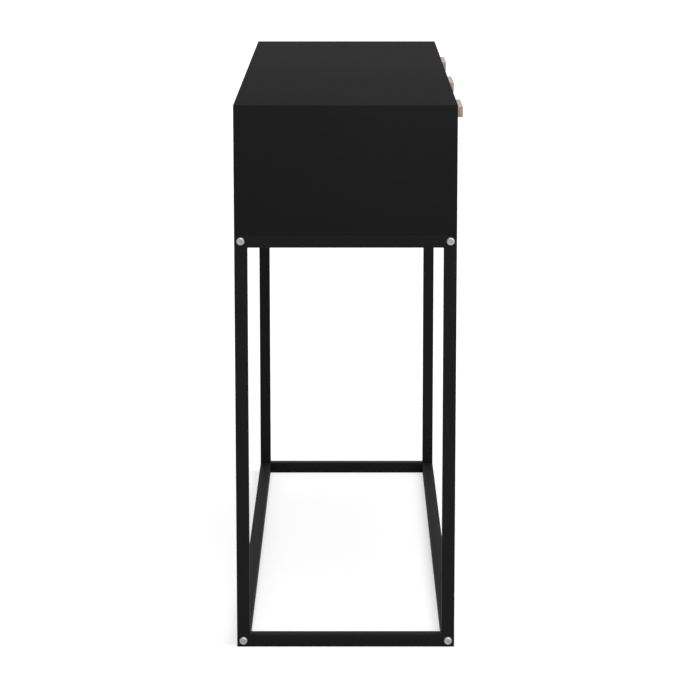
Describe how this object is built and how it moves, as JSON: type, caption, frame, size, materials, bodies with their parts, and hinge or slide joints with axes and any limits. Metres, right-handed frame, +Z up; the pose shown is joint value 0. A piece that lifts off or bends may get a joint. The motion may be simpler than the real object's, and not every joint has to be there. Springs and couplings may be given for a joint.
{
  "type": "writing desk with drawers",
  "caption": "Slim black writing desk: board box with inset drawers on ball-bearing slides, pale wood block handles, open bolted frame of square steel tube.",
  "frame": {"origin": "on the floor, under the middle of the whole object's box, handles included", "axes": "+X along the desk, -Y the side the drawers open to, +Z up; left and right as seen by a person facing the drawers"},
  "size_m": [1.0564, 0.312, 0.75],
  "materials": {
    "frame_steel": "fine matt black powder coat",
    "black_board": "matt black melamine-faced board with matching edge band",
    "drawer_board": "black foil-faced board",
    "hardboard": "black lacquered hardboard",
    "handle_wood": "pale oiled solid wood",
    "bolts": "bright zinc plate",
    "slides": "zinc-plated sheet steel",
    "ball_cages": "plain pressed steel, lightly greased"
  },
  "bodies": {
    "case_and_frame": {"left_end_frame": "frame_steel", "right_end_frame": "frame_steel", "front_bottom_rail": "frame_steel", "back_bottom_rail": "frame_steel", "front_top_rail": "frame_steel", "back_top_rail": "frame_steel", "left_front_bottom_bolt": "bolts", "left_back_bottom_bolt": "bolts", "left_front_top_bolt": "bolts", "left_back_top_bolt": "bolts", "right_front_bottom_bolt": "bolts", "right_back_bottom_bolt": "bolts", "right_front_top_bolt": "bolts", "right_back_top_bolt": "bolts", "desk_top_panel": "black_board", "case_bottom_panel": "black_board", "case_left_side": "black_board", "case_right_side": "black_board", "left_divider": "black_board", "right_divider": "black_board", "case_back_panel": "black_board", "left_drawer_left_slide_channel": "slides", "left_drawer_right_slide_channel": "slides", "middle_drawer_left_slide_channel": "slides", "middle_drawer_right_slide_channel": "slides", "right_drawer_left_slide_channel": "slides", "right_drawer_right_slide_channel": "slides"},
    "left_drawer": {"left_drawer_front": "black_board", "left_drawer_handle": "handle_wood", "left_drawer_left_side": "drawer_board", "left_drawer_right_side": "drawer_board", "left_drawer_back": "drawer_board", "left_drawer_bottom": "hardboard", "left_drawer_left_slide_rail": "slides", "left_drawer_right_slide_rail": "slides"},
    "left_drawer_ball_cages": {"left_drawer_left_ball_cage": "ball_cages", "left_drawer_right_ball_cage": "ball_cages"},
    "middle_drawer": {"middle_drawer_front": "black_board", "middle_drawer_handle": "handle_wood", "middle_drawer_left_side": "drawer_board", "middle_drawer_right_side": "drawer_board", "middle_drawer_back": "drawer_board", "middle_drawer_bottom": "hardboard", "middle_drawer_left_slide_rail": "slides", "middle_drawer_right_slide_rail": "slides"},
    "middle_drawer_ball_cages": {"middle_drawer_left_ball_cage": "ball_cages", "middle_drawer_right_ball_cage": "ball_cages"},
    "right_drawer": {"right_drawer_front": "black_board", "right_drawer_handle": "handle_wood", "right_drawer_left_side": "drawer_board", "right_drawer_right_side": "drawer_board", "right_drawer_back": "drawer_board", "right_drawer_bottom": "hardboard", "right_drawer_left_slide_rail": "slides", "right_drawer_right_slide_rail": "slides"},
    "right_drawer_ball_cages": {"right_drawer_left_ball_cage": "ball_cages", "right_drawer_right_ball_cage": "ball_cages"}
  },
  "joints": [
    {"name": "left_drawer_slide", "type": "slide", "parent": "case_and_frame", "child": "left_drawer", "axis": [0, -1, 0], "range_m": [0, 0.185]},
    {"name": "left_drawer_cages_slide", "type": "slide", "parent": "case_and_frame", "child": "left_drawer_ball_cages", "axis": [0, -1, 0], "range_m": [0, 0.0925]},
    {"name": "middle_drawer_slide", "type": "slide", "parent": "case_and_frame", "child": "middle_drawer", "axis": [0, -1, 0], "range_m": [0, 0.185]},
    {"name": "middle_drawer_cages_slide", "type": "slide", "parent": "case_and_frame", "child": "middle_drawer_ball_cages", "axis": [0, -1, 0], "range_m": [0, 0.0925]},
    {"name": "right_drawer_slide", "type": "slide", "parent": "case_and_frame", "child": "right_drawer", "axis": [0, -1, 0], "range_m": [0, 0.185]},
    {"name": "right_drawer_cages_slide", "type": "slide", "parent": "case_and_frame", "child": "right_drawer_ball_cages", "axis": [0, -1, 0], "range_m": [0, 0.0925]}
  ],
  "couplings": [
    {"joint": "left_drawer_cages_slide", "follows": "left_drawer_slide", "ratio": 0.5},
    {"joint": "middle_drawer_cages_slide", "follows": "middle_drawer_slide", "ratio": 0.5},
    {"joint": "right_drawer_cages_slide", "follows": "right_drawer_slide", "ratio": 0.5}
  ]
}
